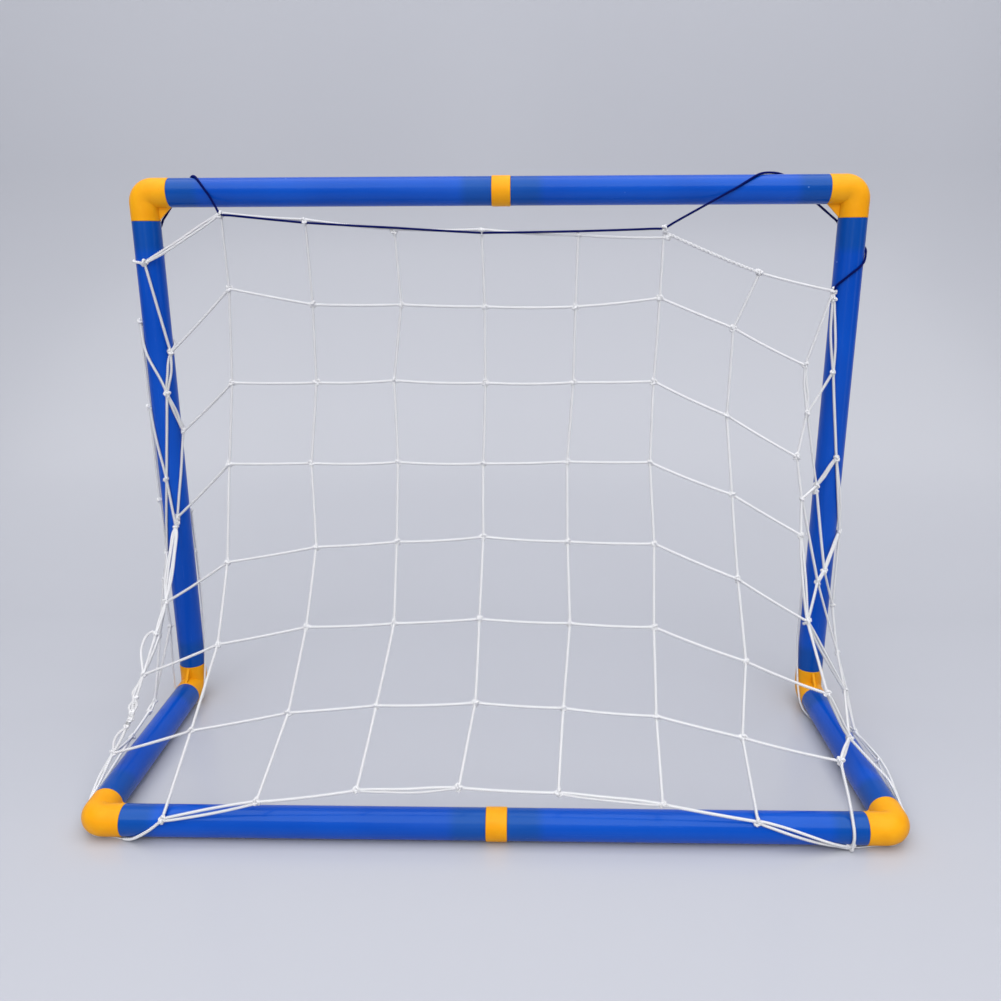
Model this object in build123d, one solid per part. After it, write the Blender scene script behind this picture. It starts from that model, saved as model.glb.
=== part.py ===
from build123d import *
import math
import os

# Toy football goal: straight plastic tubes plugged onto moulded connectors, with a knotted
# cord net hung from the crossbar to the rear ground bar and a lacing cord along the top.
#
# Frame: origin on the ground, on the goal line, midway between the uprights.
# +X along the crossbar, +Y out through the mouth of the goal, +Z up. Millimetres.
# Left is -X and right is +X.

os.makedirs("parts", exist_ok=True)

# ------------------------------------------------------------------ frame dimensions
WIDTH = 600.0            # upright axis to upright axis
HEIGHT = 460.0           # ground tube axis to crossbar axis
DEPTH = 220.0            # upright axis to rear ground bar axis

UPRIGHT_X = WIDTH / 2
GROUND_Z = 12.5          # ground tube axis above the floor
CROSSBAR_Z = GROUND_Z + HEIGHT
REAR_Y = -DEPTH

TUBE_R = 12.0
TUBE_WALL = 1.5
TUBE_END_EASE = 0.4      # fillet on the outer rim at each tube end

ELBOW_R = 12.15
BEND_R = 9.0             # centre line bend radius
ELBOW_LEG = 23.0         # crossing of the axes to the face a tube butts against
ELBOW_RIM_EASE = 0.6
WEB_T = 2.0              # flat web in the inside corner of an elbow
WEB_ROOT = 3.0           # how deep the web reaches into the legs
WEB_SETBACK = 0.8        # web's ends to the butting faces
WEB_TIP_SINK = 0.05      # web's tips below the leg surface
CUTTER_SIZE = 100.0      # square that trims the corner section at the bend axis

COUPLER_R = 12.5
COUPLER_W = 15.9
COUPLER_X = 4.3          # both couplers sit this far right of the middle
COUPLER_EASE = 0.9

SPIGOT_CLEARANCE = 0.05  # radial, spigot in tube
SPIGOT_R = TUBE_R - TUBE_WALL - SPIGOT_CLEARANCE
SPIGOT_L = 26.0
SPIGOT_ROOT = 1.0        # overlap of a spigot with its connector body
SPIGOT_LEAD = 1.2        # chamfer at the spigot's nose
BORE_R = 8.6
BORE_OVERRUN = 1.0       # bore cutter past the spigot's nose


# ------------------------------------------------------------------ frame pieces
def cylinder(radius, start, direction, length):
    return Solid.make_cylinder(radius, length, Plane(origin=start, z_dir=direction))


def tube(start, direction, length):
    """A plain thin-walled tube with softened outer rims."""
    outer = Solid.make_cylinder(TUBE_R, length)
    outer = outer.fillet(TUBE_END_EASE, outer.edges().filter_by(GeomType.CIRCLE))
    body = outer - Solid.make_cylinder(TUBE_R - TUBE_WALL, length)
    return Plane(origin=start, z_dir=direction).location * body


def far_rim(solid):
    """The circular edge furthest along +X."""
    return solid.edges().filter_by(GeomType.CIRCLE).sort_by(Axis.X)[-1]


def spigot(shoulder_x):
    """Solid spigot along +X from a shoulder, rooted in the body behind it."""
    start = (shoulder_x - SPIGOT_ROOT, 0, 0)
    peg = cylinder(SPIGOT_R, start, (1, 0, 0), SPIGOT_L + SPIGOT_ROOT)
    return peg.chamfer(SPIGOT_LEAD, None, [far_rim(peg)])


def elbow():
    """90 degree elbow: axes cross at the origin, legs along +X and +Y."""
    swap_xy = Plane(origin=(0, 0, 0), z_dir=(1, -1, 0))
    bend_start = Plane(origin=(BEND_R, 0, 0), x_dir=(0, 1, 0), z_dir=(1, 0, 0))
    bend_axis = Axis((BEND_R, BEND_R, 0), (0, 0, -1))

    leg_x = cylinder(ELBOW_R, (BEND_R, 0, 0), (1, 0, 0), ELBOW_LEG - BEND_R)
    leg_x = leg_x.fillet(ELBOW_RIM_EASE, [far_rim(leg_x)])
    leg_y = leg_x.mirror(swap_xy)

    # the bend is tighter than the body radius, so the section is cut at the bend axis
    cutter = Pos(BEND_R - CUTTER_SIZE / 2, 0) * Rectangle(CUTTER_SIZE, CUTTER_SIZE)
    section = bend_start * (Circle(ELBOW_R) & cutter)
    corner = revolve(section, axis=bend_axis, revolution_arc=90)

    # the web's free edge runs straight from one rim to the other
    root = ELBOW_R - WEB_ROOT
    end = ELBOW_LEG - WEB_SETBACK
    tip = ELBOW_R - WEB_TIP_SINK
    web = Polygon((root, root), (end, root), (end, tip), (tip, end), (root, end), align=None)
    web = extrude(web, WEB_T / 2, both=True)

    spigot_x = spigot(ELBOW_LEG)
    spigot_y = spigot_x.mirror(swap_xy)
    body = corner + leg_x + leg_y + web + spigot_x + spigot_y

    bore = revolve(bend_start * Circle(BORE_R), axis=bend_axis, revolution_arc=90)
    bore_end = ELBOW_LEG + SPIGOT_L + BORE_OVERRUN
    bore_x = cylinder(BORE_R, (BEND_R, 0, 0), (1, 0, 0), bore_end - BEND_R)
    bore = bore + bore_x + bore_x.mirror(swap_xy)
    return (body - bore).solid()


def coupler():
    """Straight coupler along X, centred on the origin."""
    ring = cylinder(COUPLER_R, (-COUPLER_W / 2, 0, 0), (1, 0, 0), COUPLER_W)
    ring = ring.fillet(COUPLER_EASE, ring.edges().filter_by(GeomType.CIRCLE))
    right_spigot = spigot(COUPLER_W / 2)
    body = ring + right_spigot + right_spigot.mirror(Plane.YZ)
    bore_length = COUPLER_W + 2 * SPIGOT_L + 2 * BORE_OVERRUN
    return (body - cylinder(BORE_R, (-bore_length / 2, 0, 0), (1, 0, 0), bore_length)).solid()


# ------------------------------------------------------------------ frame assembly
nodes = {}

left_bar_length = UPRIGHT_X - ELBOW_LEG - COUPLER_W / 2 + COUPLER_X
right_bar_length = UPRIGHT_X - ELBOW_LEG - COUPLER_W / 2 - COUPLER_X
left_bar_x = -UPRIGHT_X + ELBOW_LEG
right_bar_x = COUPLER_X + COUPLER_W / 2
coupler_shape = coupler()
for bar, y, z in (("crossbar", 0, CROSSBAR_Z), ("rear_bar", REAR_Y, GROUND_Z)):
    nodes[f"{bar}_tube_left"] = tube((left_bar_x, y, z), (1, 0, 0), left_bar_length)
    nodes[f"{bar}_tube_right"] = tube((right_bar_x, y, z), (1, 0, 0), right_bar_length)
    nodes[f"{bar}_coupler"] = Location((COUPLER_X, y, z)) * coupler_shape

for side, x in (("left", -UPRIGHT_X), ("right", UPRIGHT_X)):
    nodes[f"upright_{side}"] = tube(
        (x, 0, GROUND_Z + ELBOW_LEG), (0, 0, 1), HEIGHT - 2 * ELBOW_LEG)
    nodes[f"side_tube_{side}"] = tube(
        (x, REAR_Y + ELBOW_LEG, GROUND_Z), (0, 1, 0), DEPTH - 2 * ELBOW_LEG)

ELBOWS = [  # (name, corner, direction of the elbow's X leg, direction of its Z axis)
    ("top_elbow_left", (-UPRIGHT_X, 0, CROSSBAR_Z), (1, 0, 0), (0, 1, 0)),
    ("top_elbow_right", (UPRIGHT_X, 0, CROSSBAR_Z), (-1, 0, 0), (0, -1, 0)),
    ("foot_elbow_left", (-UPRIGHT_X, 0, GROUND_Z), (0, 0, 1), (1, 0, 0)),
    ("foot_elbow_right", (UPRIGHT_X, 0, GROUND_Z), (0, 0, 1), (1, 0, 0)),
    ("rear_elbow_left", (-UPRIGHT_X, REAR_Y, GROUND_Z), (1, 0, 0), (0, 0, 1)),
    ("rear_elbow_right", (UPRIGHT_X, REAR_Y, GROUND_Z), (0, 1, 0), (0, 0, 1)),
]
elbow_shape = elbow()
for name, corner, leg, normal in ELBOWS:
    nodes[name] = Plane(origin=corner, x_dir=leg, z_dir=normal).location * elbow_shape

# ------------------------------------------------------------------ cords
CORD_R = 1.1             # net cord
KNOT_R = 2.2
BEND_EASE = 0.2          # a ball at a bend stands this far proud of the cord
CORD_GAP = 3.4           # a cord that meets a knot of another solid stops this far from its centre
CORD_AXIS_R = TUBE_R + CORD_R + 0.5   # least distance from a tube axis to a net cord's centre line
ROUTE_STEPS = 6          # runs in a cord that bows round a tube
STRAIGHT_TOLERANCE = 0.05  # a cord pushed less than this stays straight
LACE_R = 1.0             # lacing cord
WRAP_R = TUBE_R + LACE_R + 0.4   # lacing cord's centre line where it goes round a tube


def ball(centre, radius, along, other):
    """Sphere with its poles on a cord's direction and its seam square to both directions."""
    pole = along.normalized()
    seam = pole.cross(other.normalized()).normalized()
    plane = Plane(origin=centre, x_dir=seam, z_dir=pole)
    return Solid.make_sphere(radius, plane, angle1=-90, angle2=90, angle3=360)


def strand(points, radius):
    """Solids of a cord: the first run, then each later run followed by the ball at its start."""
    solids = []
    for i, (start, end) in enumerate(zip(points[:-1], points[1:])):
        direction = (end - start).normalized()
        solids.append(cylinder(radius, start, direction, (end - start).length))
        if i:
            # any direction well away from the cord's
            other = Vector(0, 0, 1) if abs(direction.Z) < 0.7 else Vector(0, 1, 0)
            solids.append(ball(start, radius + BEND_EASE, direction, other))
    return solids


# ------------------------------------------------------------------ net
# Knot centres (x, y, z), row by row from the crossbar down to the rear bar, and in each row
# from the left selvedge (on the left upright, then above the left side tube) to the right.
# The mesh is about 72 mm square; the net hangs slack, nearly plumb below the crossbar,
# then sweeps back to the rear bar.
KNOT_TABLE = [
    [(-299.5, -14.6, 415.3), (-230.5, -14.2, 455.7), (-159.4, -16.2, 450.0),
     (-84.8, -16.4, 442.0), (-11.8, -16.3, 441.3), (69.0, -15.8, 436.5),
     (140.2, -15.0, 438.6), (221.0, -17.7, 405.2), (286.8, -8.0, 389.8)],
    [(-287.2, -8.4, 338.6), (-229.9, -11.1, 393.6), (-157.5, -14.8, 380.2),
     (-81.0, -17.4, 380.0), (-9.5, -20.1, 378.3), (67.4, -21.9, 378.2),
     (137.9, -23.0, 385.3), (201.0, -22.8, 360.1), (266.1, -15.4, 327.6)],
    [(-285.4, -2.0, 266.8), (-232.2, -16.9, 313.3), (-157.1, -19.8, 313.7),
     (-88.3, -24.7, 316.3), (-9.1, -28.2, 314.6), (66.1, -31.4, 315.4),
     (134.0, -33.8, 316.6), (197.3, -35.3, 287.6), (260.0, -34.8, 251.2)],
    [(-294.5, -13.7, 188.8), (-235.7, -32.7, 243.8), (-161.6, -37.8, 245.7),
     (-85.1, -41.3, 247.6), (-10.9, -44.7, 247.2), (61.1, -48.9, 250.0),
     (131.0, -54.0, 250.7), (200.4, -60.4, 224.2), (261.6, -60.0, 188.1)],
    [(-293.4, -62.7, 124.6), (-232.3, -70.1, 165.3), (-154.3, -69.7, 179.3),
     (-84.1, -72.5, 185.2), (-10.1, -75.5, 190.9), (61.0, -79.3, 188.1),
     (132.9, -84.7, 188.3), (202.6, -91.8, 159.8), (264.2, -90.1, 121.2)],
    [(-295.8, -118.2, 81.9), (-229.9, -118.9, 110.3), (-155.7, -115.9, 125.1),
     (-82.6, -115.5, 128.5), (-12.0, -117.4, 133.8), (62.0, -120.5, 131.6),
     (129.6, -125.1, 130.7), (203.7, -132.3, 104.4), (265.3, -149.9, 85.4)],
    [(-307.4, -163.7, 34.8), (-238.2, -172.4, 60.8), (-160.7, -169.3, 75.5),
     (-91.0, -168.7, 82.1), (-13.3, -168.6, 85.1), (55.3, -170.6, 82.1),
     (126.9, -174.5, 78.0), (193.3, -178.5, 62.3), (263.7, -195.0, 53.0)],
    [(-315.0, -214.0, 14.0), (-242.6, -232.4, 21.6), (-172.0, -230.2, 36.1),
     (-98.1, -227.2, 44.8), (-22.9, -226.1, 47.1), (49.9, -227.5, 44.5),
     (125.6, -230.4, 37.7), (195.6, -229.6, 23.5), (264.7, -232.7, 20.5)],
]
KNOTS = [[Vector(*point) for point in row] for row in KNOT_TABLE]
ROWS, COLS = len(KNOTS), len(KNOTS[0])
BANDS = {"net_upper": (0, 1), "net_middle": (2, 3, 4), "net_lower": (5, 6, 7)}  # knot rows

# the first cord of the bottom row goes round the outside of the left rear elbow
CORNER_CORD = (ROWS - 1, 0)
CORNER_ROUTE = [
    Vector(-313.5, -226.0, 14.0), Vector(-305.0, -233.5, 15.0),
    Vector(-290.0, -235.6, 15.5), Vector(-265.0, -235.0, 17.5),
]

REAR_TRIM = 6.0          # ground tube axes stop this far short of the rear corners
TUBE_AXES = [  # (point on the axis, direction, from, to), distances measured from the point
    (Vector(-UPRIGHT_X, 0, 0), Vector(0, 0, 1), GROUND_Z, CROSSBAR_Z),
    (Vector(UPRIGHT_X, 0, 0), Vector(0, 0, 1), GROUND_Z, CROSSBAR_Z),
    (Vector(0, 0, CROSSBAR_Z), Vector(1, 0, 0), -UPRIGHT_X, UPRIGHT_X),
    (Vector(0, REAR_Y, GROUND_Z), Vector(1, 0, 0), -UPRIGHT_X + REAR_TRIM, UPRIGHT_X - REAR_TRIM),
    (Vector(-UPRIGHT_X, 0, GROUND_Z), Vector(0, 1, 0), REAR_Y + REAR_TRIM, 0),
    (Vector(UPRIGHT_X, 0, GROUND_Z), Vector(0, 1, 0), REAR_Y + REAR_TRIM, 0),
]


def pushed_clear(point):
    """Moves a point straight out from any tube axis it is too close to."""
    for origin, direction, low, high in TUBE_AXES:
        along = (point - origin).dot(direction)
        if low <= along <= high:
            foot = origin + direction * along
            out = point - foot
            if out.length < CORD_AXIS_R:
                point = foot + out.normalized() * CORD_AXIS_R
    return point


def route(start, end):
    """Points of a straight cord, bowed round a tube where it would cut it."""
    points = [start + (end - start) * (i / ROUTE_STEPS) for i in range(ROUTE_STEPS + 1)]
    moved = [start] + [pushed_clear(point) for point in points[1:-1]] + [end]
    if max((new - old).length for new, old in zip(moved, points)) < STRAIGHT_TOLERANCE:
        return [start, end]
    return moved


def shorten(points):
    """Cuts the last run of a polyline back by the cord gap."""
    before, last = points[-2:]
    return points[:-1] + [last - (last - before).normalized() * CORD_GAP]


def knot(row, col, rows, cols):
    """Knot whose poles lie on the cords that run through it, where two do."""
    here = KNOTS[row][col]
    down = KNOTS[row + 1][col] - here if row + 1 < ROWS else here - KNOTS[row - 1][col]
    across = KNOTS[row][col + 1] - here if col + 1 < COLS else here - KNOTS[row][col - 1]
    through_down = row - 1 in rows and row + 1 < ROWS
    through_across = col - 1 in cols and col + 1 in cols
    if through_across and not through_down:
        return ball(here, KNOT_R, across, down)
    return ball(here, KNOT_R, down, across)


def net_panel(rows, cols, borrowed=None):
    """One solid of cords and knots; a borrowed column lends only its knot positions."""
    own = [col for col in cols if col != borrowed]
    knots = [knot(row, col, rows, own) for row in rows for col in own]
    across, down = [], []
    for row in rows:
        for col in cols[:-1]:
            start, end = KNOTS[row][col], KNOTS[row][col + 1]
            if (row, col) == CORNER_CORD:
                points = [start] + CORNER_ROUTE + [end]
            else:
                points = route(start, end)
            if col + 1 == borrowed:
                points = shorten(points)
            elif col == borrowed:
                points = shorten(points[::-1])[::-1]
            across += strand(points, CORD_R)
        for col in own:
            if row + 1 < ROWS:
                points = route(KNOTS[row][col], KNOTS[row + 1][col])
                if row + 1 not in rows:
                    points = shorten(points)
                down += strand(points, CORD_R)
    pieces = knots + across + down
    return pieces[0].fuse(*pieces[1:]).solid()


for name, rows in BANDS.items():
    left = net_panel(rows, [0, 1], borrowed=1)
    back = net_panel(rows, list(range(1, COLS - 1)))
    right = net_panel(rows, [COLS - 2, COLS - 1], borrowed=COLS - 2)
    nodes[name] = Compound([left, back, right])

# ------------------------------------------------------------------ lacing cord
LACE_OFFSET = Vector(0, -3.7, -2.5)   # behind and below the top row of knots
LACED_COLS = range(1, 7)


def round_tube(origin, axis, zero, degrees, along, steps):
    """Points on a helix about a tube: angles by the right-hand rule from the zero direction.

    degrees and along are (start, end) pairs.
    """
    origin, axis, zero = Vector(*origin), Vector(*axis), Vector(*zero)
    quarter = axis.cross(zero)
    points = []
    for i in range(steps + 1):
        t = i / steps
        angle = math.radians(degrees[0] + (degrees[1] - degrees[0]) * t)
        centre = origin + axis * (along[0] + (along[1] - along[0]) * t)
        points.append(centre + (zero * math.cos(angle) + quarter * math.sin(angle)) * WRAP_R)
    return points


def lace(points):
    """One cord along a polyline of points."""
    solids = strand(points, LACE_R)
    runs, balls = solids[:1] + solids[1::2], solids[2::2]
    return runs[0].fuse(*balls, *runs[1:]).solid()


def over_crossbar(along):
    """Three quarters of a turn from the rear face (-Y), up over the top to the underside."""
    return round_tube((0, 0, CROSSBAR_Z), (1, 0, 0), (0, -1, 0), (0, -270), along, steps=18)


def lacing_cord():
    over_left = over_crossbar((-243.0, -273.5))
    over_right = over_crossbar((205.0, 266.0))
    run = [KNOTS[0][col] + LACE_OFFSET for col in LACED_COLS]
    return lace(over_left[::-1] + run + over_right)


def lacing_tail(start, upright_x, zero, degrees, heights, steps):
    """Tail from a point by the crossbar, then down round an upright."""
    turn = round_tube((upright_x, 0, 0), (0, 0, 1), zero, degrees, heights, steps)
    return lace([Vector(*start)] + turn)


nodes["lacing_cord"] = lacing_cord()

# both tails start on the inner side and cross the front of the upright to its outer side;
# the left one ends just past there, the right one goes on to the rear face
nodes["lacing_tail_left"] = lacing_tail(
    (-279.5, 3.0, 456.0), -UPRIGHT_X, (1, 0, 0), (20, 215), (446.0, 422.0), steps=13)
nodes["lacing_tail_right"] = lacing_tail(
    (276.0, 3.5, 456.5), UPRIGHT_X, (-1, 0, 0), (-20, -262), (445.0, 404.0), steps=16)

for name, shape in nodes.items():
    shape.label = name
    export_step(shape, f"parts/{name}.step")
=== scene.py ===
# A blue tube frame with yellow connectors and a white cord net laced on in navy.
# X runs across the frame and +Z is up. Two uprights and the crossbar stand at the front (+Y);
# a side tube runs back from each along the floor to the rear bar (-Y). The camera looks from -Y.
import math
import bpy
import numpy as np
from mathutils import Matrix, Vector


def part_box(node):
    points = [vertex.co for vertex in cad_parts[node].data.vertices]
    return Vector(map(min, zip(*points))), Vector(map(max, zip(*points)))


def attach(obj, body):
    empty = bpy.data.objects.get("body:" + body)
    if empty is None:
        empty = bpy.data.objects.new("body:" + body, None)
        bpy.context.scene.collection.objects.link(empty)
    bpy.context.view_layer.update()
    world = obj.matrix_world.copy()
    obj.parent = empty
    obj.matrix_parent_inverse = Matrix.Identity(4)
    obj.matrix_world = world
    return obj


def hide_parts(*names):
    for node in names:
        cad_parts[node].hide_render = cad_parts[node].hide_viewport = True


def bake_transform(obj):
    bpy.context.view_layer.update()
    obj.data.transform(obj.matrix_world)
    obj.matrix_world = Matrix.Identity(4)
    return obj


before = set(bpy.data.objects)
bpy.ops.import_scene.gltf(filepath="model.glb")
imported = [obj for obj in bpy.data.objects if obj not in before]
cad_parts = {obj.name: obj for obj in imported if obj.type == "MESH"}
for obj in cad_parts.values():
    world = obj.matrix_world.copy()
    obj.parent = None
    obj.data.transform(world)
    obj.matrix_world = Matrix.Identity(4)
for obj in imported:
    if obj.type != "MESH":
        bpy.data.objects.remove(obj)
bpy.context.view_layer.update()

scene = bpy.context.scene
MM = 0.001


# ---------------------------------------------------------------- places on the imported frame
def middle(node):
    low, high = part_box(node)
    return (low + high) / 2


upright_left, upright_right = middle("upright_left"), middle("upright_right")
crossbar_middle, rear_middle = middle("crossbar_coupler"), middle("rear_bar_coupler")
upright_low, upright_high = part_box("upright_left")
TUBE_R = (upright_high.x - upright_low.x) / 2
HALF_WIDTH = (upright_right.x - upright_left.x) / 2
CENTRE_X = (upright_right.x + upright_left.x) / 2
FRONT_Y, REAR_Y = upright_left.y, rear_middle.y
TOP_Z, BASE_Z = crossbar_middle.z, middle("side_tube_left").z

# The net's tables are in mm, for a frame of this size with its front plane at y = 0;
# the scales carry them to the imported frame.
TABLE_UPRIGHT_X = 300.0
TABLE_DEPTH = 220.0
TABLE_HEIGHT = 460.0
TABLE_BASE_Z = 12.5
TABLE_TOP_Z = TABLE_BASE_Z + TABLE_HEIGHT
SCALE_X = HALF_WIDTH / (TABLE_UPRIGHT_X * MM)
SCALE_Y = (FRONT_Y - REAR_Y) / (TABLE_DEPTH * MM)
SCALE_Z = (TOP_Z - BASE_Z) / (TABLE_HEIGHT * MM)


def table_y(y):
    return FRONT_Y + y * MM * SCALE_Y


def table_z(z):
    return BASE_Z + (z - TABLE_BASE_Z) * MM * SCALE_Z


def at(point):
    x, y, z = point
    return np.array([CENTRE_X + x * MM * SCALE_X, table_y(y), table_z(z)])


# ---------------------------------------------------------------- materials
class Graph:
    """A new material with a Principled shader, and short names for adding its nodes."""

    def __init__(self, name):
        self.material = bpy.data.materials.new(name)
        self.material.use_nodes = True
        self.tree = self.material.node_tree
        self.tree.nodes.clear()
        output = self.node("OutputMaterial")
        self.shader = self.node("BsdfPrincipled")
        self.tree.links.new(self.shader.outputs[0], output.inputs[0])
        self.coord = self.node("TexCoord").outputs["Object"]

    def node(self, kind):
        return self.tree.nodes.new("ShaderNode" + kind)

    def put(self, socket, value):
        if isinstance(value, bpy.types.NodeSocket):
            self.tree.links.new(value, socket)
        else:
            socket.default_value = value

    def surface(self, values):
        for name, value in values.items():
            self.put(self.shader.inputs[name], value)

    def math(self, operation, first, second=0.0):
        node = self.node("Math")
        node.operation = operation
        for socket, value in zip(node.inputs, (first, second, 0.0)):
            self.put(socket, value)
        return node.outputs[0]

    def add(self, first, second):
        return self.math("ADD", first, second)

    def subtract(self, first, second):
        return self.math("SUBTRACT", first, second)

    def multiply(self, value, by):
        return self.math("MULTIPLY", value, by)

    def ramp(self, value, start, end, low=0.0, high=1.0):
        node = self.node("MapRange")
        node.interpolation_type = "SMOOTHSTEP"
        for i, number in enumerate((value, start, end, low, high)):
            self.put(node.inputs[i], number)
        return node.outputs[0]

    def stretched(self, scales):
        node = self.node("VectorMath")
        node.operation = "MULTIPLY"
        self.put(node.inputs[0], self.coord)
        node.inputs[1].default_value = scales
        return node.outputs[0]

    def drawn_out(self, axis, across, along):
        scales = [across] * 3
        scales[axis] = along
        return self.stretched(scales)

    def noise(self, scale=1.0, detail=3.0, roughness=0.5, distortion=0.0, vector=None):
        node = self.node("TexNoise")
        self.put(node.inputs["Vector"], self.coord if vector is None else vector)
        node.inputs["Scale"].default_value = scale
        node.inputs["Detail"].default_value = detail
        node.inputs["Roughness"].default_value = roughness
        node.inputs["Distortion"].default_value = distortion
        return node.outputs["Fac"]

    def voronoi(self, scale):
        node = self.node("TexVoronoi")
        self.put(node.inputs["Vector"], self.coord)
        node.inputs["Scale"].default_value = scale
        return node.outputs["Distance"]

    def mix(self, amount, under, over):
        node = self.node("Mix")
        node.data_type = "RGBA"
        node.clamp_factor = True
        # inputs 6 and 7 are the two colours, output 2 the mixed one
        for i, value in ((0, amount), (6, under), (7, over)):
            self.put(node.inputs[i], value)
        return node.outputs[2]

    def along(self, axis):
        node = self.node("SeparateXYZ")
        self.put(node.inputs[0], self.coord)
        return node.outputs[axis]

    def bump(self, height, strength, distance, normal=None):
        node = self.node("Bump")
        node.inputs["Strength"].default_value = strength
        node.inputs["Distance"].default_value = distance
        self.put(node.inputs["Height"], height)
        if normal is not None:
            self.put(node.inputs["Normal"], normal)
        return node.outputs[0]


SPIGOT_REACH = 0.027     # length of spigot seen through the tube wall


def tube_material(node, axis):
    """Glossy blown blue tube: faint lines drawn along its length, a few specks and rubs, and a
    duller, greener zone beside each connector, where the spigot shows through the wall."""
    deep, bright = (0.0004, 0.0560, 0.410, 1), (0.0008, 0.0660, 0.458, 1)
    line_blue = (0.0045, 0.0800, 0.520, 1)
    spigot_blue = (0.0016, 0.0560, 0.2780, 1)
    speck_blue = (0.16, 0.30, 0.72, 1)
    g = Graph("tube_blue_" + node)
    drawn = g.noise(detail=4.0, roughness=0.55, vector=g.drawn_out(axis, across=260.0, along=5.0))
    broad = g.noise(scale=11.0, detail=2.0)
    grain = g.noise(scale=900.0, detail=2.0, roughness=0.6)

    position = g.along(axis)

    def spigot_zone(face):
        distance = g.math("ABSOLUTE", g.subtract(position, face))
        waver = g.multiply(g.subtract(broad, 0.5), by=0.006)
        return g.ramp(g.add(distance, waver), start=SPIGOT_REACH * 0.72, end=SPIGOT_REACH * 1.12,
                      low=1.0, high=0.0)

    zone = g.math("MAXIMUM", *[spigot_zone(end[axis]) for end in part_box(node)])

    colour = g.mix(g.ramp(broad, start=0.35, end=0.65), deep, bright)
    colour = g.mix(g.ramp(drawn, start=0.58, end=0.78, high=0.28), colour, line_blue)
    colour = g.mix(g.multiply(zone, by=0.70), colour, spigot_blue)
    dots = g.ramp(g.voronoi(scale=62.0), start=0.025, end=0.06, low=1.0, high=0.0)
    speck = g.multiply(dots, by=g.ramp(g.noise(scale=21.0, detail=1.0), start=0.60, end=0.64))
    colour = g.mix(g.multiply(speck, by=0.65), colour, speck_blue)

    rub = g.noise(roughness=0.6, vector=g.drawn_out(axis, across=620.0, along=26.0))
    rub = g.ramp(rub, start=0.62, end=0.74)
    rough = g.ramp(drawn, start=0.3, end=0.7, low=0.17, high=0.24)
    rough = g.add(rough, g.multiply(rub, by=0.10))
    rough = g.add(rough, g.multiply(speck, by=0.25))

    height = g.add(g.multiply(drawn, by=1.0), g.multiply(grain, by=0.10))
    height = g.add(height, g.multiply(speck, by=0.5))
    # the blown wall is never quite true
    wave = g.noise(detail=1.0, roughness=0.4, vector=g.drawn_out(axis, across=48.0, along=3.2))
    wavy = g.bump(wave, strength=1.0, distance=0.00060)
    g.surface({
        "Base Color": colour,
        "Roughness": rough,
        "IOR": 1.49,
        "Specular IOR Level": 0.31,
        "Specular Tint": (0.60, 0.95, 1.0, 1),
        "Coat Weight": 0.03,
        "Coat Roughness": 0.08,
        "Normal": g.bump(height, strength=0.30, distance=0.00016, normal=wavy),
    })
    return g.material


def connector_material():
    """Satin moulded polyethylene: soft mottling, fine moulded grain and slight translucency."""
    dark, light = (0.780, 0.314, 0.0026, 1), (0.830, 0.366, 0.0068, 1)
    flow_yellow = (0.830, 0.402, 0.0136, 1)
    pit_brown = (0.43, 0.165, 0.0066, 1)
    g = Graph("connector_moulded_yellow")
    cloud = g.noise(scale=42.0, roughness=0.55)
    flow = g.noise(roughness=0.6, distortion=1.2, vector=g.stretched((90.0, 90.0, 40.0)))
    grain = g.noise(scale=1500.0, roughness=0.65)
    pits = g.ramp(g.voronoi(scale=260.0), start=0.04, end=0.12, low=1.0, high=0.0)
    pits = g.multiply(pits, by=g.ramp(g.noise(scale=60.0, detail=1.0), start=0.60, end=0.66))
    colour = g.mix(g.ramp(cloud, start=0.3, end=0.7), dark, light)
    colour = g.mix(g.ramp(flow, start=0.55, end=0.8, high=0.35), colour, flow_yellow)
    colour = g.mix(g.multiply(pits, by=0.45), colour, pit_brown)
    height = g.add(g.multiply(grain, by=0.5), g.multiply(flow, by=0.4))
    height = g.subtract(height, g.multiply(pits, by=0.8))
    g.surface({
        "Base Color": colour,
        "Roughness": g.ramp(grain, start=0.3, end=0.7, low=0.36, high=0.50),
        "Specular IOR Level": 0.165,
        "Subsurface Weight": 0.10,
        "Subsurface Radius": (0.004, 0.0018, 0.0004),
        "Subsurface Scale": 0.6,
        "Normal": g.bump(height, strength=0.25, distance=0.00022),
    })
    return g.material


def cord_material(name, dark, light, dirt, sheen, specular, rough):
    """Twisted filament cord: fibre-fine colour and relief, with painted shade darkening the grooves
    between the strands.
    """
    g = Graph(name)
    fibre = g.noise(scale=2600.0, roughness=0.6)
    slub = g.noise(scale=150.0, detail=2.0)
    colour = g.mix(g.ramp(fibre, start=0.30, end=0.70), dark, light)
    colour = g.mix(g.ramp(slub, start=0.58, end=0.76, high=0.35), colour, dirt)
    # painted shade: the flanks of each strand are darkened, standing in for the shade that falls in
    # the twist's grooves
    groove_shade = g.node("Attribute")
    groove_shade.attribute_name = "groove_shade"
    shade = g.ramp(groove_shade.outputs["Fac"], start=0.35, end=1.0, high=0.85)
    shaded = tuple(channel * 0.60 for channel in dark[:3]) + (1,)
    g.surface({
        "Base Color": g.mix(shade, colour, shaded),
        "Roughness": g.ramp(fibre, start=0.3, end=0.7, low=rough, high=rough + 0.16),
        "Sheen Weight": sheen,
        "Sheen Roughness": 0.45,
        "Specular IOR Level": specular,
        "Normal": g.bump(fibre, strength=0.45, distance=0.00016),
    })
    return g.material


def stage_material():
    dark, light = (0.450, 0.459, 0.504, 1), (0.462, 0.471, 0.517, 1)
    g = Graph("studio_sweep")
    g.surface({
        "Base Color": g.mix(g.noise(scale=1.6, detail=2.0), dark, light),
        "Roughness": 0.22,
        "Specular IOR Level": 0.33,
    })
    return g.material


def dress(node, material):
    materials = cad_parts[node].data.materials
    materials.clear()
    materials.append(material)


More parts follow.
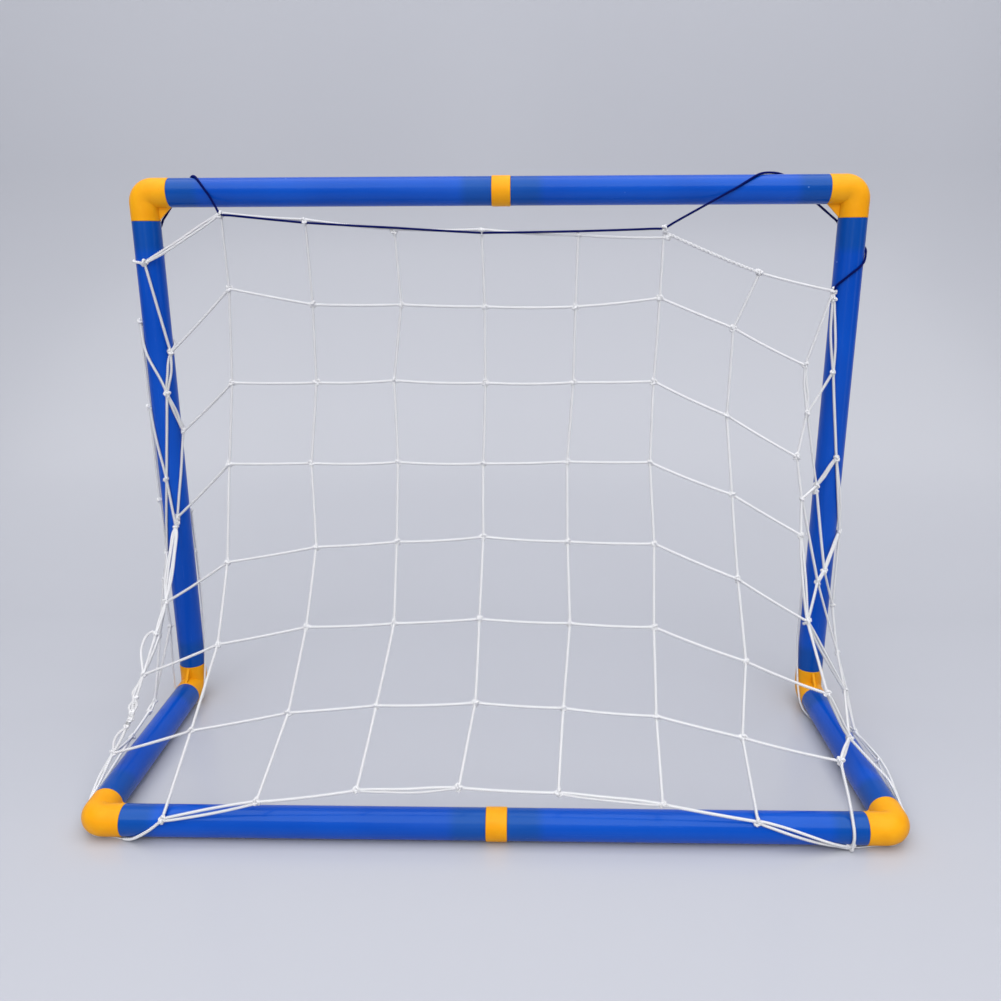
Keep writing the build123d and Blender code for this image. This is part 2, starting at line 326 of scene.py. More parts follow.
TUBE_AXES = {      # the axis each tube runs along: 0 is X, 1 is Y, 2 is Z
    "crossbar_tube_left": 0, "crossbar_tube_right": 0,
    "rear_bar_tube_left": 0, "rear_bar_tube_right": 0,
    "upright_left": 2, "upright_right": 2,
    "side_tube_left": 1, "side_tube_right": 1,
}
CONNECTORS = (
    "crossbar_coupler", "rear_bar_coupler", "top_elbow_left", "top_elbow_right",
    "foot_elbow_left", "foot_elbow_right", "rear_elbow_left", "rear_elbow_right",
)
for node, axis in TUBE_AXES.items():
    dress(node, tube_material(node, axis))
yellow = connector_material()
for node in CONNECTORS:
    dress(node, yellow)

# ---------------------------------------------------------------- the net's knots
# Back panel, (x, y, z) in table mm. Rows run from the crossbar (0) to the rear bar (7), columns
# from the left selvedge (0) to the right one (8). Knot "K23" is row 2, column 3.
KNOT_GRID = [
    [(-299.5, -14.6, 415.3), (-230.5, -14.2, 455.7), (-159.4, -16.2, 450.0),
     (-84.8, -16.4, 442.0), (-11.8, -16.3, 441.3), (69.0, -15.8, 436.5),
     (140.2, -15.0, 438.6), (221.0, -17.7, 405.2), (286.8, -8.0, 389.8)],
    [(-287.2, -8.4, 338.6), (-229.9, -11.1, 393.6), (-157.5, -14.8, 380.2),
     (-81.0, -17.4, 380.0), (-9.5, -20.1, 378.3), (67.4, -21.9, 378.2),
     (137.9, -23.0, 385.3), (201.0, -22.8, 360.1), (266.1, -15.4, 327.6)],
    [(-285.4, -2.0, 266.8), (-232.2, -16.9, 313.3), (-157.1, -19.8, 313.7),
     (-88.3, -24.7, 316.3), (-9.1, -28.2, 314.6), (66.1, -31.4, 315.4),
     (134.0, -33.8, 316.6), (197.3, -35.3, 287.6), (260.0, -34.8, 251.2)],
    [(-294.5, -13.7, 188.8), (-235.7, -32.7, 243.8), (-161.6, -37.8, 245.7),
     (-85.1, -41.3, 247.6), (-10.9, -44.7, 247.2), (61.1, -48.9, 250.0),
     (131.0, -54.0, 250.7), (200.4, -60.4, 224.2), (261.6, -60.0, 188.1)],
    [(-293.4, -62.7, 124.6), (-232.3, -70.1, 165.3), (-154.3, -69.7, 179.3),
     (-84.1, -72.5, 185.2), (-10.1, -75.5, 190.9), (61.0, -79.3, 188.1),
     (132.9, -84.7, 188.3), (202.6, -91.8, 159.8), (264.2, -90.1, 121.2)],
    [(-295.8, -118.2, 81.9), (-229.9, -118.9, 110.3), (-155.7, -115.9, 125.1),
     (-82.6, -115.5, 128.5), (-12.0, -117.4, 133.8), (62.0, -120.5, 131.6),
     (129.6, -125.1, 130.7), (203.7, -132.3, 104.4), (265.3, -149.9, 85.4)],
    [(-307.4, -163.7, 34.8), (-238.2, -172.4, 60.8), (-160.7, -169.3, 75.5),
     (-91.0, -168.7, 82.1), (-13.3, -168.6, 85.1), (55.3, -170.6, 82.1),
     (126.9, -174.5, 78.0), (193.3, -178.5, 62.3), (263.7, -195.0, 53.0)],
    [None, (-242.6, -232.4, 21.6), (-172.0, -230.2, 36.1),
     (-98.1, -227.2, 44.8), (-22.9, -226.1, 47.1), (49.9, -227.5, 44.5),
     (125.6, -230.4, 37.7), (195.6, -229.6, 23.5), (264.7, -229.6, 2.4)],
]
# Side panels, left (L) and right (R): slack net gathered on the uprights and side tubes.
# Knots are tied in the sorted order of these names.
KNOTS = {
    "LB1": (-293.2, -11.6, 302.5), "LB2": (-301.0, -13.7, 225.1), "LB3": (-309.6, -9.6, 153.9),
    "LC0": (-313.2, -4.0, 365.0), "LC1": (-311.6, -7.2, 290.1), "LC2": (-313.0, -4.6, 202.7),
    "LA3b": (-296.0, -16.2, 180.2), "LB4": (-312.5, -16.5, 128.2),
    "LN": (-294.5, -87.7, 105.4), "LP1": (-298.1, -132.5, 67.1), "LP2": (-299.0, -141.2, 58.1),
    "LP3": (-298.9, -144.8, 54.3), "LP4": (-301.1, -149.3, 49.7),
    "LL1": (-313.0, -12.0, 79.5), "LL2": (-314.6, -34.5, 80.0), "LL3": (-315.0, -61.0, 26.0),
    "LL4": (-315.2, -73.5, 22.5), "LL5": (-315.6, -112.0, 19.0), "LE0": (-313.4, -202.0, 11.5),
    "RB1": (292.1, -11.2, 321.6), "RB2": (301.2, -13.7, 245.6), "RF": (313.2, -5.6, 173.9),
    "RD1": (269.7, -21.6, 287.0), "RD2": (264.5, -44.0, 216.0), "RE": (284.5, -18.5, 221.0),
    "RG": (292.6, -36.4, 147.4), "RH": (283.4, -48.6, 141.4),
    "RP": (291.0, -138.0, 39.8), "RO1": (309.5, -18.0, 107.0), "RO2": (311.0, -38.0, 68.5),
    "RO3": (311.8, -63.0, 43.5), "RO4": (313.8, -91.0, 19.0), "RO5": (316.2, -139.4, 19.7),
    "RE0": (313.4, -204.0, 11.5),
}
for row, knots in enumerate(KNOT_GRID):
    for column, knot in enumerate(knots):
        if knot is not None:
            KNOTS[f"K{row}{column}"] = knot

# Points where runs meet away from the named knots
BELOW_K06 = (143.5, -16.5, 434.0)
UNDER_REAR_LEFT = (-276.0, -227.6, 1.5)
INSIDE_LEFT_TOP, INSIDE_LEFT_FOOT = (-289.8, 8.8, 188.5), (-286.4, -10.5, 17.0)
INSIDE_RIGHT = (286.6, 2.6, 116.0)

# ---------------------------------------------------------------- paths
NET_STEP = 0.78 * MM            # spacing of the rings along a net cord
LACE_STEP = NET_STEP * 0.95


def unit(vector):
    return vector / max(np.linalg.norm(vector), 1e-12)


def unit_rows(vectors):
    return vectors / np.maximum(np.linalg.norm(vectors, axis=1), 1e-12)[:, None]


def tangents(path):
    return unit_rows(np.gradient(path, axis=0))


def lengths_along(path):
    steps = np.linalg.norm(np.diff(path, axis=0), axis=1)
    return np.concatenate([[0], np.cumsum(steps)])


def smooth_path(points, step):
    """Centripetal Catmull-Rom through the points, resampled evenly."""
    points = [np.asarray(p, float) for p in points]
    points = [2 * points[0] - points[1]] + points + [2 * points[-1] - points[-2]]
    dense = []
    for p0, p1, p2, p3 in zip(points, points[1:], points[2:], points[3:]):
        t0 = 0.0
        t1 = t0 + max(np.linalg.norm(p1 - p0), 1e-6) ** 0.5
        t2 = t1 + max(np.linalg.norm(p2 - p1), 1e-6) ** 0.5
        t3 = t2 + max(np.linalg.norm(p3 - p2), 1e-6) ** 0.5
        for t in np.linspace(t1, t2, 30, endpoint=False):
            a1 = (t1 - t) / (t1 - t0) * p0 + (t - t0) / (t1 - t0) * p1
            a2 = (t2 - t) / (t2 - t1) * p1 + (t - t1) / (t2 - t1) * p2
            a3 = (t3 - t) / (t3 - t2) * p2 + (t - t2) / (t3 - t2) * p3
            b1 = (t2 - t) / (t2 - t0) * a1 + (t - t0) / (t2 - t0) * a2
            b2 = (t3 - t) / (t3 - t1) * a2 + (t - t1) / (t3 - t1) * a3
            dense.append((t2 - t) / (t2 - t1) * b1 + (t - t1) / (t2 - t1) * b2)
    dense.append(points[-2])
    dense = np.array(dense)
    lengths = lengths_along(dense)
    count = max(3, int(round(lengths[-1] / step)) + 1)
    even = np.linspace(0, lengths[-1], count)
    return np.stack([np.interp(even, lengths, dense[:, k]) for k in range(3)], axis=1)


def bowed(start, end, depth, direction):
    """Points of a slack run from start to end."""
    return [start + (end - start) * t + direction * depth * 4 * t * (1 - t)
            for t in np.linspace(0, 1, 7)]


# The frame as capsules (start, end, radius) that cords are kept clear of
BEND_R = 0.009              # centre line radius of an elbow's bend
ELBOW_LEG = 0.023           # from the elbow's corner to the end of each leg
ELBOW_WALL = 0.00018        # how far an elbow stands proud of its tubes
COUPLER_HALF = 0.007
COUPLER_WALL = 0.0006
FLOOR_GAP = 1.16            # lowest centre line above the floor, as a share of the gap


def elbow_capsules(corner, leg_a, leg_b):
    corner, leg_a, leg_b = (np.array(v, float) for v in (corner, leg_a, leg_b))
    centre = corner + (leg_a + leg_b) * BEND_R
    arc = [centre - BEND_R * (leg_b * math.cos(t) + leg_a * math.sin(t))
           for t in np.linspace(0, math.pi / 2, 7)]
    arc = [corner + leg_a * ELBOW_LEG] + arc + [corner + leg_b * ELBOW_LEG]
    return [(p, q, TUBE_R + ELBOW_WALL) for p, q in zip(arc[:-1], arc[1:])]


def frame_capsules():
    capsules = []

    def add(start, end, radius):
        capsules.append((np.array(start, float), np.array(end, float), radius))

    for side in (-1, 1):
        x = CENTRE_X + side * HALF_WIDTH
        add((x, FRONT_Y, BASE_Z + BEND_R), (x, FRONT_Y, TOP_Z - BEND_R), TUBE_R)
        add((x, REAR_Y + BEND_R, BASE_Z), (x, FRONT_Y - BEND_R, BASE_Z), TUBE_R)
        capsules += elbow_capsules((x, FRONT_Y, TOP_Z), (-side, 0, 0), (0, 0, -1))
        capsules += elbow_capsules((x, FRONT_Y, BASE_Z), (0, -1, 0), (0, 0, 1))
        capsules += elbow_capsules((x, REAR_Y, BASE_Z), (-side, 0, 0), (0, 1, 0))
    left, right = CENTRE_X - HALF_WIDTH + BEND_R, CENTRE_X + HALF_WIDTH - BEND_R
    for y, z in ((FRONT_Y, TOP_Z), (REAR_Y, BASE_Z)):
        add((left, y, z), (right, y, z), TUBE_R)
    for x, y, z in (crossbar_middle, rear_middle):
        add((x - COUPLER_HALF, y, z), (x + COUPLER_HALF, y, z), TUBE_R + COUPLER_WALL)
    return capsules


CAPSULES = frame_capsules()


def pushed(path, gap):
    """Moves points straight out of any tube they would cut, and off the floor."""
    out = path.copy()
    for start, end, radius in CAPSULES:
        line = end - start
        share = np.clip(((out - start) @ line) / (line @ line), 0, 1)
        foot = start + share[:, None] * line
        away = out - foot
        distance = np.linalg.norm(away, axis=1)
        need = radius + gap
        hit = distance < need
        outward = away[hit] / np.maximum(distance[hit], 1e-9)[:, None]
        out[hit] = foot[hit] + outward * need
    out[:, 2] = np.maximum(out[:, 2], gap * FLOOR_GAP)
    return out


def settled(path, gap):
    """Pushed clear of the tubes and eased, so a cord lies over a tube without a kink."""
    out = pushed(path, gap)
    if np.abs(out - path).max() < 1e-6:
        return out
    for _ in range(5):
        eased = out.copy()
        eased[1:-1] = (out[:-2] + 2 * out[1:-1] + out[2:]) / 4
        out = pushed(eased, gap)
        out[0], out[-1] = path[0], path[-1]
    return out


# ---------------------------------------------------------------- cord meshes
NET_PITCH = 0.0056              # length of one full turn of the twist
LACE_PITCH = 0.0046
STRANDS = 3
PROFILE = np.array([1.24, 0.80, 0.80] * STRANDS)      # a ridge and two flanks to each strand
RING_SIZE = len(PROFILE)
CORD_R = 1.14 * MM
THIN_R = 0.94 * MM
FLAT_R = 0.50 * MM              # cord pressed between a rear elbow and the floor
LACE_R = 0.98 * MM
NET_GAP = 0.15 * MM
FLAT_GAP = 0.04 * MM
LACE_GAP = 0.10 * MM
KNOT_CORD = 0.92                # a knot's cord radius, as a share of its run's


def link_object(name, mesh, material):
    for polygon in mesh.polygons:
        polygon.use_smooth = True
    made = bpy.data.objects.new(name, mesh)
    scene.collection.objects.link(made)
    mesh.materials.append(material)
    return made


def carried(side, tangent):
    """The side vector carried along the path without twisting."""
    sides = np.zeros((len(tangent), 3))
    for i, direction in enumerate(tangent):
        side = unit(side - direction * (side @ direction))
        sides[i] = side
    return sides


class CordMesh:
    """Gathers twisted cords into one mesh; mesh edges follow the strands of the twist."""

    def __init__(self):
        self.points, self.faces, self.groove_shade = [], [], []
        self.count = 0

    def add_points(self, points, groove_shade):
        first = self.count
        self.points.append(points)
        self.groove_shade.append(groove_shade)
        self.count += len(points)
        return first

    def add_rings(self, path, tangent, side, angle, radius, closed):
        turn = angle[:, None] + (np.arange(RING_SIZE) * 2 * math.pi / RING_SIZE)[None, :]
        cos, sin = np.cos(turn)[..., None], np.sin(turn)[..., None]
        across = np.cross(tangent, side)
        outward = side[:, None, :] * cos + across[:, None, :] * sin
        rings = path[:, None, :] + outward * (radius * PROFILE)[None, :, None]
        # flank points are marked for the painted shade in the grooves; ridge points are left
        # unshaded
        first = self.add_points(rings.reshape(-1, 3),
                                np.tile((PROFILE < 1).astype(float), len(path)))
        index = first + np.arange(len(path) * RING_SIZE).reshape(-1, RING_SIZE)
        near, far = index, np.roll(index, -1, axis=0)
        if not closed:
            near, far = near[:-1], far[:-1]
        quads = np.stack([near, np.roll(near, -1, axis=1), np.roll(far, -1, axis=1), far], axis=-1)
        self.faces.extend(quads.reshape(-1, 4).tolist())
        return index

    def rod(self, path, radius, pitch, phase=0.0):
        """An open cord with a low point at each end."""
        tangent = tangents(path)
        up = np.array([0.0, 0, 1]) if abs(tangent[0][2]) < 0.8 else np.array([0.0, 1, 0])
        angle = phase + 2 * math.pi / pitch * lengths_along(path)
        index = self.add_rings(path, tangent, carried(up, tangent), angle, radius, closed=False)
        tip = radius * 0.35
        tips = np.array([path[0] - tangent[0] * tip, path[-1] + tangent[-1] * tip])
        start_tip = self.add_points(tips, np.array([0.5, 0.5]))
        for j in range(RING_SIZE):
            k = (j + 1) % RING_SIZE
            self.faces.append([int(index[0, k]), int(index[0, j]), start_tip])
            self.faces.append([int(index[-1, j]), int(index[-1, k]), start_tip + 1])

    def loop(self, path, radius, pitch, phase=0.0):
        """A closed ring of cord: the twist turns a whole number of times, so the ends meet."""
        following = np.roll(path, -1, axis=0)
        tangent = unit_rows(following - np.roll(path, 1, axis=0))
        first = tangent[0]
        axis = unit(np.cross(first, path[0] - path.mean(axis=0)) + 1e-9)
        side = carried(unit(np.cross(first, axis)), tangent)
        back = unit(side[-1] - first * (side[-1] @ first))
        error = math.atan2(back @ np.cross(first, side[0]), back @ side[0])
        turns = max(1, round(np.linalg.norm(following - path, axis=1).sum() / pitch))
        angle = phase + (2 * math.pi * turns - error) * (np.arange(len(path)) / len(path))
        self.add_rings(path, tangent, side, angle, radius, closed=True)

    def object(self, name, material):
        mesh = bpy.data.meshes.new(name)
        mesh.from_pydata(np.concatenate(self.points).tolist(), [], self.faces)
        mesh.validate()
        mesh.update()
        # the mask for the painted shade in the grooves
        groove_shade = mesh.attributes.new("groove_shade", "FLOAT", "POINT")
        groove_shade.data.foreach_set("value", np.concatenate(self.groove_shade).astype(np.float32))
        return link_object(name, mesh, material)


def knot_curve():
    """A closed trefoil, about 5.5 units across."""
    t = np.linspace(0, 2 * math.pi, 54, endpoint=False)
    return t, np.stack([np.sin(t) + 1.75 * np.sin(2 * t),
                        np.cos(t) - 1.75 * np.cos(2 * t),
                        -1.25 * np.sin(3 * t)], axis=1)


# ---------------------------------------------------------------- laying the net
rng = np.random.default_rng(7)      # every draw below depends on the order of the runs and knots

# each run is cut at these two heights, into the net's three pieces
CUT_HIGH = table_z(284)
CUT_LOW = table_z(138)
net_meshes = {"net_top": CordMesh(), "net_mid": CordMesh(), "net_low": CordMesh()}


def net_piece(z):
    return "net_top" if z >= CUT_HIGH else ("net_mid" if z >= CUT_LOW else "net_low")


def lay(path, radius):
    """Adds a cord to the net's pieces, cutting it where it crosses from one to the next."""
    phase = float(rng.uniform(0, 6.28))
    names = [net_piece(point[2]) for point in path]
    lengths = lengths_along(path)
    start = 0
    for i in range(1, len(path) + 1):
        if i == len(path) or names[i] != names[start]:
            piece = path[start:i + 1]
            if len(piece) >= 3:
                turned = 2 * math.pi / NET_PITCH * lengths[start]
                net_meshes[names[start]].rod(piece, radius, NET_PITCH, phase + turned)
            start = i


def spot(place):
    """The place of a named knot, or of a point in table mm."""
    return at(KNOTS[place] if isinstance(place, str) else place)


def span(start, end, radius=CORD_R, sag=None, twin=False, gap=None, via=(), spread=1.35,
         taut=False):
    """A run of cord, single or as two parallel strands; taut strands stay straight and apart.
    The sag is a share of the run's length and the spread is in mm."""
    start, end = spot(start), spot(end)
    if sag is None:
        sag = float(rng.uniform(0.004, 0.016)) * (0.2 if taut else 1.0)
    down = np.array([0, 0.0, -1.0])
    sway = np.array([rng.uniform(-1, 1), rng.uniform(-0.4, 0.4), 0]) * 0.35
    if via:
        points = [start] + [at(p) for p in via] + [end]
    else:
        points = bowed(start, end, np.linalg.norm(end - start) * sag, down + sway)
    centre = smooth_path(points, NET_STEP)
    if gap is None:
        gap = radius + NET_GAP
    if not twin:
        lay(settled(centre, gap), radius)
        return
    # the twin strands lie side by side across the net's rear face
    view = unit(np.array([0.0, -0.93, 0.36]))
    across = unit_rows(np.cross(tangents(centre), view))
    share = np.linspace(0, 1, len(centre))
    opening = np.sin(math.pi * share) ** (0.3 if taut else 0.6)
    for side in (-1, 1):
        wave = np.sin(share * math.pi * rng.uniform(1.5, 3.0) + rng.uniform(0, 6))
        wobble = 1 + (0.05 if taut else 0.25) * wave
        offset = across * (side * spread * MM * opening * wobble)[:, None]
        lay(settled(centre + offset, gap), radius * 0.93)


def pair(start, end, turns, spread=0.80):
    """Two strands laid round each other."""
    radius = CORD_R * 0.78
    start, end = spot(start), spot(end)
    depth = np.linalg.norm(end - start) * 0.01
    centre = smooth_path(bowed(start, end, depth, np.array([0, 0, -1.0])), NET_STEP)
    along = unit(end - start)
    side = unit(np.cross(along, np.array([0, 1.0, 0])))
    other = np.cross(along, side)
    share = np.linspace(0, 1, len(centre))
    fade = np.clip(np.minimum(share, 1 - share) * 12, 0, 1) * spread * MM
    for strand in (0, 1):
        angle = 2 * math.pi * turns * share + strand * math.pi
        offset = side * (np.cos(angle) * fade)[:, None] + other * (np.sin(angle) * fade)[:, None]
        lay(settled(centre + offset, radius + NET_GAP), radius)


def lay_runs(runs):
    """Runs are (start, end) or (start, end, options); those with turns are laid pairs."""
    for start, end, *extra in runs:
        options = dict(*extra)
        (pair if "turns" in options else span)(start, end, **options)


def twin(spread=1.35):
    return {"twin": True, "spread": spread}


def via(*points):
    return {"via": points}


THIN = {"radius": THIN_R}
FLAT = {"radius": FLAT_R, "gap": FLAT_GAP}
TIGHT = {"sag": 0.004}
STRAIGHT = {"sag": 0.0}

# Runs across the back panel that differ from the rest, by the (row, column) of their left knot
TOP_ROW = {"sag": 0.012}
ACROSS_OPTIONS = {
    (0, 0): twin() | TOP_ROW,
    (0, 6): {"turns": 11},
    (0, 7): {"sag": 0.010},
    (7, 1): twin(1.7) | {"taut": True},
    (7, 3): twin(),
    (7, 5): twin(),
    (7, 6): TIGHT,
    (7, 7): twin(1.7) | {"taut": True} | via((228.0, -231.5, 14.0)),
}


def back_panel_runs():
    runs = []
    for row in range(8):
        for column in range(1 if row == 7 else 0, 8):
            end = BELOW_K06 if (row, column) == (0, 5) else f"K{row}{column + 1}"
            options = ACROSS_OPTIONS.get((row, column), TOP_ROW if row == 0 else {})
            runs.append((f"K{row}{column}", end, options))
    for column in range(1, 8):
        for row in range(7):
            runs.append((f"K{row}{column}", f"K{row + 1}{column}", {"sag": 0.006}))
    return runs


def fanned_runs(start, end):
    """Four thin strands spread side by side between two knots."""
    # share of the way, share of the strand's x offset, extra x, share of its y offset
    stations = ((0.08, 0.75, 0.0, 0.0), (0.35, 0.95, 0.0, 1.0), (0.7, 1.15, -0.4, 0.5))
    first, last = np.array(KNOTS[start]), np.array(KNOTS[end])
    runs = []
    for offset_x, offset_y in ((-2.7, 0.4), (-0.9, -1.2), (1.0, 0.6), (2.5, 0.3)):
        points = [first + (last - first) * way + (offset_x * x_share + extra, offset_y * y_share, 0)
                  for way, x_share, extra, y_share in stations]
        runs.append((start, end, THIN | via(*points)))
    return runs


LEFT_RUNS = [
    ("K00", "K10", TIGHT), ("K10", "LB1", twin(1.6)), ("LB1", "K20", twin(1.3)),
    ("K20", "K30", TIGHT), ("LC0", "LB1"), ("LC1", "LB2"), ("LC2", "LB3"),
    ("LB1", "LB2"), ("LB2", "LB3"), ("LB2", "LA3b"),
    ("LC0", "LC1", STRAIGHT), ("LC1", "LC2", STRAIGHT),
    ("LC0", "LC1", via((-314.6, -0.5, 330.0))), ("LC1", "LC2", via((-314.4, -1.5, 245.0))),
    ("K30", "LA3b"), *fanned_runs("LA3b", "K40"),
    ("LB3", "LB4"), ("LB3", "K40", THIN), ("LB4", "LL1"), ("LB4", "LL2"),
    ("K40", "LN", twin(0.85)), ("LN", "K50", TIGHT),
    ("LN", "K50", via((-298.0, -86.0, 106.6), (-302.4, -89.8, 103.8), (-303.4, -99.6, 96.2),
                      (-299.4, -110.3, 88.0))),
    ("K40", "LL2", THIN),
    # looped and half-knotted tail between K50 and K60
    ("K50", "LP1", via((-299.1, -124.9, 74.9), (-301.6, -129.4, 70.3))),
    ("K50", "LP1", via((-296.6, -127.0, 73.6))),
    ("LP1", "LP2", via((-302.2, -137.4, 62.0))), ("LP1", "LP2", via((-296.2, -137.3, 62.1))),
    ("LP2", "LP4", {"turns": 4, "spread": 1.5}), ("LP2", "LP3", twin(1.5)),
    ("LP4", "K60", via((-306.2, -152.6, 46.4), (-308.4, -157.3, 42.0))),
    ("LP4", "K60", via((-303.0, -155.8, 43.4))),
    ("LP1", "LP3", {"turns": 5, "spread": 1.3}),
    ("K50", "LP2", THIN | via((-299.6, -131.0, 70.4))),
    # down the side tube
    ("K60", "LE0", twin(1.0) | via((-312.6, -180.0, 21.5))),
    ("LL1", "LL3"), ("LL2", "LL3"), ("LL3", "LL4", twin()), ("LL4", "LL5"), ("LL5", "LE0"),
    ("LL5", "K60", THIN), ("LL2", "K50", THIN),
    # the bottom selvedge goes under the rear bar and round the corner
    ("K71", UNDER_REAR_LEFT,
     via((-251.0, -234.4, 15.2), (-260.5, -233.4, 8.6), (-268.5, -230.3, 3.4))),
    (UNDER_REAR_LEFT, "LE0", FLAT | via(
        (-281.0, -225.2, 0.7), (-290.0, -223.8, 0.6), (-299.0, -223.0, 0.6),
        (-304.6, -219.0, 0.8), (-305.6, -211.0, 0.8), (-310.8, -206.5, 4.0))),
    # the inner selvedge drops down the inside of the upright and passes under the side tube
    (INSIDE_LEFT_TOP, INSIDE_LEFT_FOOT, THIN | via(
        (-288.8, 8.6, 150.0), (-287.4, 6.4, 112.0), (-286.4, 2.4, 84.0), (-286.3, -2.0, 45.0))),
    (INSIDE_LEFT_FOOT, "LL1", THIN | via(
        (-289.0, -16.0, 4.0), (-300.0, -19.0, 1.4), (-311.5, -17.0, 5.5), (-314.4, -14.0, 30.0))),
]
RIGHT_RUNS = [
    ("K08", "K18", TIGHT), ("K08", "RB1", twin(1.8)), ("K18", "RD1", twin(1.15)),
    ("RB1", "RD1"), ("RD1", "K28"), ("RB1", "RB2"), ("RB2", "RE", twin(0.9)),
    ("RD1", "RE", THIN), ("K28", "RD2", TIGHT), ("RE", "RD2"), ("RD2", "K38"),
    ("RD2", "RH"), ("RE", "RG"),
    ("RB2", "RF", via((306.2, -12.4, 212.0))), ("RB2", "RF", via((309.5, -10.5, 205.0))),
    ("RF", "RG", twin(0.8)), ("RG", "RH", twin(0.7)), ("K38", "K48", twin(1.3)),
    ("RH", "K48"), ("RH", "RO2", THIN), ("RG", "RO1", THIN), ("RF", "RO1", THIN),
    ("K48", "K58"), ("K48", "RO3", twin()), ("K58", "RP", twin(1.4)),
    ("RO3", "RP"), ("RP", "K68", twin(1.2)),
    ("K68", "K78", via((264.5, -222.0, 30.0), (264.7, -233.4, 14.0))),
    ("RP", "RE0", via((303.0, -158.0, 29.5), (311.5, -176.0, 23.0))),
    ("RO1", "RO2"), ("RO2", "RO3"), ("RO3", "RO4"), ("RO4", "RO5"), ("RO5", "RE0"),
    ("RO2", "RO4", THIN | via((314.6, -55.0, 46.0))),
    ("RO4", "RE0", THIN | via((317.0, -150.0, 21.5))),
    # the bottom selvedge goes round the corner
    ("K78", "RE0", FLAT | via(
        (271.0, -227.0, 1.1), (280.0, -225.2, 0.7), (290.0, -223.8, 0.6), (299.0, -223.0, 0.6),
        (304.6, -219.0, 0.8), (305.6, -211.0, 0.8), (310.8, -207.5, 4.0))),
    # round the front of the upright, down its inside and under the side tube
    ("RF", INSIDE_RIGHT, THIN | via((311.0, 7.8, 160.0), (300.0, 13.4, 145.0), (289.5, 8.5, 130.0))),
    (INSIDE_RIGHT, "RO4", THIN | via(
        (286.2, -0.8, 60.0), (286.8, -18.0, 14.0), (289.5, -33.0, 4.5), (300.0, -42.0, 1.4),
        (311.0, -54.0, 4.5), (314.6, -70.0, 12.0))),
]
lay_runs(back_panel_runs())
lay_runs(LEFT_RUNS)
lay_runs(RIGHT_RUNS)

# Table mm from a tube's centre line to that of a cord wrapped on it
NET_WRAP = TUBE_R / MM + 1.28
LACE_WRAP = TUBE_R / MM + 1.15


def round_upright(side, degrees, z, wrap_radius):
    """A point round an upright: 0 degrees looks back (-Y), 90 looks to +X."""
    angle = math.radians(degrees)
    return (side * TABLE_UPRIGHT_X + wrap_radius * math.sin(angle),
            -wrap_radius * math.cos(angle), z)


def helix(side, degrees, heights, wrap_radius, count):
    return [round_upright(side, degrees[0] + (degrees[1] - degrees[0]) * t,
                          heights[0] + (heights[1] - heights[0]) * t, wrap_radius)
            for t in np.linspace(0, 1, count)]


# Loops of the side meshes round the front of the uprights:
# side, (first and last degrees), (first and last height), cord radius
UPRIGHT_LOOPS = (
    (-1, (-4, -205), (415.3, 419.0), CORD_R),
    (-1, (-203, -248), (418.9, 427.6), CORD_R),
    (-1, (-75, -302), (365.0, 339.0), CORD_R),
    (-1, (-62, -278), (290.1, 267.0), CORD_R),
    (-1, (-72, -230), (202.7, 188.5), CORD_R),
    (-1, (-45, -265), (153.9, 150.0), THIN_R),
    (1, (70, 262), (173.9, 168.0), THIN_R),
)
for side, degrees, heights, radius in UPRIGHT_LOOPS:
    points = [at(p) for p in helix(side, degrees, heights, NET_WRAP, 14)]
    lay(settled(smooth_path(points, NET_STEP), radius + NET_GAP), radius)


def add_knot(place, size):
    """A tied knot: one cord drawn tight through itself in three turns, lumpy and askew."""
    centre = pushed(spot(place)[None, :], 2.35 * MM * size)[0]
    t, curve = knot_curve()
    lumps = (1 + 0.10 * np.sin(t * 2 + rng.uniform(0, 6)))[:, None]
    turn = np.array(Matrix.Rotation(rng.uniform(0, 6.28), 3, "Z")
                    @ Matrix.Rotation(1.1 + rng.uniform(-0.35, 0.35), 3, "X")
                    @ Matrix.Rotation(rng.uniform(0, 6.28), 3, "Z"))
    curve = (curve * (0.80 * MM * size) * lumps) @ turn.T * np.array([1.0, 0.92, 1.05])
    # a knot on the floor sits on it
    centre[2] += max(0.0, 1.30 * CORD_R - (curve[:, 2].min() + centre[2]))
    net_meshes[net_piece(centre[2])].loop(curve + centre, CORD_R * KNOT_CORD, NET_PITCH,
                                          phase=float(rng.uniform(0, 6)))


GRID_KNOT_SIZES = {(4, 8): 1.5, (7, 1): 1.2, (7, 7): 1.2, (0, 8): 1.25, (7, 8): 1.15,
                   (0, 0): 1.15, (6, 8): 1.15}
SIDE_KNOT_SIZES = {"RP": 1.25, "RG": 1.05, "RB2": 1.1, "RE": 1.15, "LB1": 1.1, "LP1": 0.8,
                   "LP2": 0.85, "LP3": 0.75, "LP4": 0.8, "LN": 0.8}
# top row knots, by column, shifted to be tied over the lacing cord too
OVER_LACE = (0.0, -1.7, -1.5)
TOP_KNOT_SHIFTS = {1: OVER_LACE, 2: OVER_LACE, 3: (0.0, -0.4, -2.4), 4: OVER_LACE,
                   6: (0.0, -2.2, 3.0)}
EXTRA_KNOTS = (      # place, size
    ((218.9, -17.6, 406.6), 0.75), ((287.6, -9.2, 383.2), 0.95), ((283.6, -19.6, 216.6), 0.9),
    ((-294.6, -14.8, 184.6), 0.8), ((-290.3, 9.3, 188.5), 0.7), (BELOW_K06, 0.95),
)
for row, knots in enumerate(KNOT_GRID):
    for column, knot in enumerate(knots):
        if knot is not None:
            shift = TOP_KNOT_SHIFTS.get(column, (0, 0, 0)) if row == 0 else (0, 0, 0)
            size = GRID_KNOT_SIZES.get((row, column), 1.1) * float(rng.uniform(0.94, 1.08))
            add_knot(np.add(knot, shift), size)
for name in sorted(KNOTS):
    if name[0] in "LR" and name not in ("LE0", "RE0"):
        add_knot(name, SIDE_KNOT_SIZES.get(name, 0.92))
for place, size in EXTRA_KNOTS:
    add_knot(place, size)

